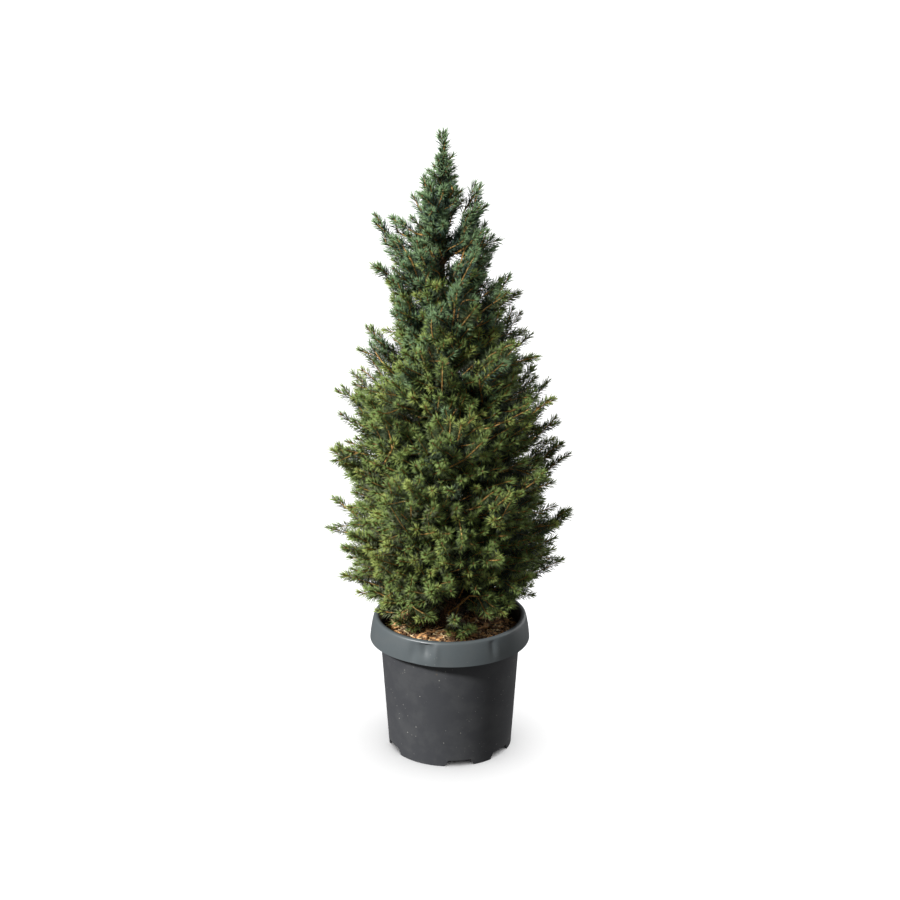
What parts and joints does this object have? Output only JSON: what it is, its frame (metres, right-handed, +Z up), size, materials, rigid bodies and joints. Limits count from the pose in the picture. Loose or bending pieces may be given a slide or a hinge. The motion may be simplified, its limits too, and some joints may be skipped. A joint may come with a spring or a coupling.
{
  "type": "potted dwarf alberta spruce",
  "caption": "Small conical garden conifer, bushy with short needles from the soil to a slim leading shoot, growing in its round plastic nursery pot.",
  "frame": {"origin": "middle of the pot's flat foot, on the ground", "axes": "+Z up along the pot's axis and the trunk, front of the plant towards -Y, +X to its right as seen from the front"},
  "size_m": [0.3449, 0.3341, 0.8895],
  "materials": {
    "pot_plastic": "satin",
    "potting_mix": "rough",
    "bark": "rough",
    "needles": "matte"
  },
  "bodies": {
    "root": {"pot": "pot_plastic", "soil": "potting_mix", "trunk": "bark", "bough_foot_1": "bark", "bough_foot_2": "bark", "bough_foot_3": "bark", "bough_foot_4": "bark", "bough_low_1": "bark", "bough_low_2": "bark", "bough_low_3": "bark", "bough_low_4": "bark", "foliage_broad_1": "needles", "foliage_broad_2": "needles", "foliage_broad_3": "needles", "foliage_broad_4": "needles", "foliage_broad_5": "needles", "foliage_broad_6": "needles", "foliage_collar_1": "needles", "foliage_collar_2": "needles", "foliage_collar_3": "needles", "foliage_crest_1": "needles", "foliage_crest_2": "needles", "foliage_crest_3": "needles", "foliage_crest_4": "needles", "foliage_foot_1": "needles", "foliage_foot_2": "needles", "foliage_foot_3": "needles", "foliage_foot_4": "needles", "foliage_high_1": "needles", "foliage_high_2": "needles", "foliage_high_3": "needles", "foliage_high_4": "needles", "foliage_high_5": "needles", "foliage_leader": "needles", "foliage_long_shoot_inner": "needles", "foliage_long_shoot_lower": "needles", "foliage_long_shoot_outer": "needles", "foliage_low_1": "needles", "foliage_low_2": "needles", "foliage_low_3": "needles", "foliage_low_4": "needles", "foliage_low_5": "needles", "foliage_low_6": "needles", "foliage_middle_1": "needles", "foliage_middle_2": "needles", "foliage_middle_3": "needles", "foliage_middle_4": "needles", "foliage_middle_5": "needles", "foliage_middle_6": "needles", "foliage_upper_1": "needles", "foliage_upper_2": "needles", "foliage_upper_3": "needles", "foliage_upper_4": "needles", "foliage_upper_5": "needles", "foliage_waist_1": "needles", "foliage_waist_2": "needles", "foliage_waist_3": "needles", "foliage_waist_4": "needles", "foliage_waist_5": "needles", "foliage_waist_6": "needles"}
  },
  "joints": []
}
